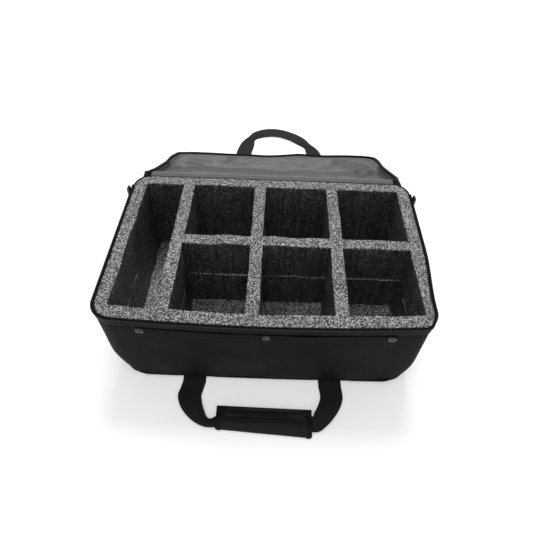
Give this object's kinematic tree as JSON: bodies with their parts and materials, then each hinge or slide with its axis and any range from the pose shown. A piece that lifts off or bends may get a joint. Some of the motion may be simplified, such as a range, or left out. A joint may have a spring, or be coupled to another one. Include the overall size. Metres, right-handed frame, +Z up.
{
  "type": "miniature carry case",
  "caption": "Soft zipped carry case with a cell-cut foam insert, fold-back lid, front slip pocket and webbing handles joined by a wrap grip.",
  "frame": {"origin": "centre of the base's underside, on the floor", "axes": "+X to the user's right along the front wall, +Y from the front wall over the hinge to the open lid, +Z up"},
  "size_m": [0.5094, 0.8548, 0.1765],
  "materials": {
    "outer_fabric": "black coated woven polyester, matt with a faint sheen",
    "stiffener_board": "plain board, hidden inside the walls",
    "wall_padding": "closed-cell padding, hidden inside the lid's walls",
    "base_lining_fabric": "dark grey nylon",
    "lid_lining_fabric": "mid grey nylon, soft sheen, creased",
    "piping": "black folded binding, stitched",
    "zip_tape": "black ribbed zip tape",
    "zip_coil": "black nylon coil",
    "insert_foam": "charcoal open-cell foam, cut faces speckled",
    "webbing": "black ribbed polypropylene webbing",
    "dark_metal": "dark gunmetal, polished where it is handled",
    "hook_and_loop": "black hook-and-loop tape"
  },
  "bodies": {
    "base": {"base_bottom_panel": "outer_fabric", "base_bottom_board": "stiffener_board", "base_gusset": "outer_fabric", "base_back_panel": "outer_fabric", "base_wall_stiffener": "stiffener_board", "base_lining": "base_lining_fabric", "base_piping": "piping", "base_hinge_flap": "outer_fabric", "base_zip_tape": "zip_tape", "base_zip_coil": "zip_coil", "base_zip_stops": "dark_metal", "base_carry_straps": "webbing", "foam_base_pad": "insert_foam", "foam_tray_lower": "insert_foam", "foam_tray_upper": "insert_foam", "pocket_panel": "outer_fabric", "pocket_hem": "piping", "pocket_rivets": "dark_metal"},
    "lid": {"lid_top_panel": "outer_fabric", "lid_board": "stiffener_board", "lid_gusset": "outer_fabric", "lid_wall_pad": "wall_padding", "lid_lining": "lid_lining_fabric", "lid_piping": "piping", "lid_hinge_flap": "outer_fabric", "lid_zip_tape": "zip_tape", "lid_zip_coil": "zip_coil", "lid_zip_stops": "dark_metal", "lid_carry_straps": "webbing"},
    "base_handle": {"base_handle_webbing": "webbing", "grip_wrap": "outer_fabric", "grip_end_bindings": "piping", "grip_hook_strip": "hook_and_loop"},
    "grip_flap": {"grip_flap": "outer_fabric", "grip_loop_strip": "hook_and_loop"},
    "lid_handle": {"lid_handle_webbing": "webbing"},
    "slider_left": {"zip_slider_left": "dark_metal"},
    "pull_left": {"zip_pull_left": "dark_metal"},
    "slider_right": {"zip_slider_right": "dark_metal"},
    "pull_right": {"zip_pull_right": "dark_metal"}
  },
  "joints": [
    {"name": "lid_hinge", "type": "hinge", "parent": "base", "child": "lid", "pos_m": [0, 0.164, 0.172], "axis": [1, 0, 0], "range_deg": [0, 207.01]},
    {"name": "base_handle_swing", "type": "hinge", "parent": "base", "child": "base_handle", "pos_m": [0, -0.168, 0.001], "axis": [-1, 0, 0], "range_deg": [0, 50]},
    {"name": "grip_flap_hinge", "type": "hinge", "parent": "base_handle", "child": "grip_flap", "pos_m": [0, -0.2105, 0.013], "axis": [-1, 0, 0], "range_deg": [0, 150]},
    {"name": "lid_handle_swing", "type": "hinge", "parent": "lid", "child": "lid_handle", "pos_m": [0, 0.447, 0.001], "axis": [1, 0, 0], "range_deg": [0, 30]},
    {"name": "zip_left", "type": "slide", "parent": "base", "child": "slider_left", "axis": [0, -1, 0], "range_m": [0, 0.235]},
    {"name": "zip_right", "type": "slide", "parent": "base", "child": "slider_right", "axis": [0, -1, 0], "range_m": [0, 0.235]},
    {"name": "pull_left_swing", "type": "hinge", "parent": "slider_left", "child": "pull_left", "pos_m": [-0.2527, 0.114, 0.1651], "axis": [0, 1, 0], "range_deg": [0, 80]},
    {"name": "pull_right_swing", "type": "hinge", "parent": "slider_right", "child": "pull_right", "pos_m": [0.2527, 0.114, 0.1651], "axis": [0, -1, 0], "range_deg": [0, 80]}
  ]
}
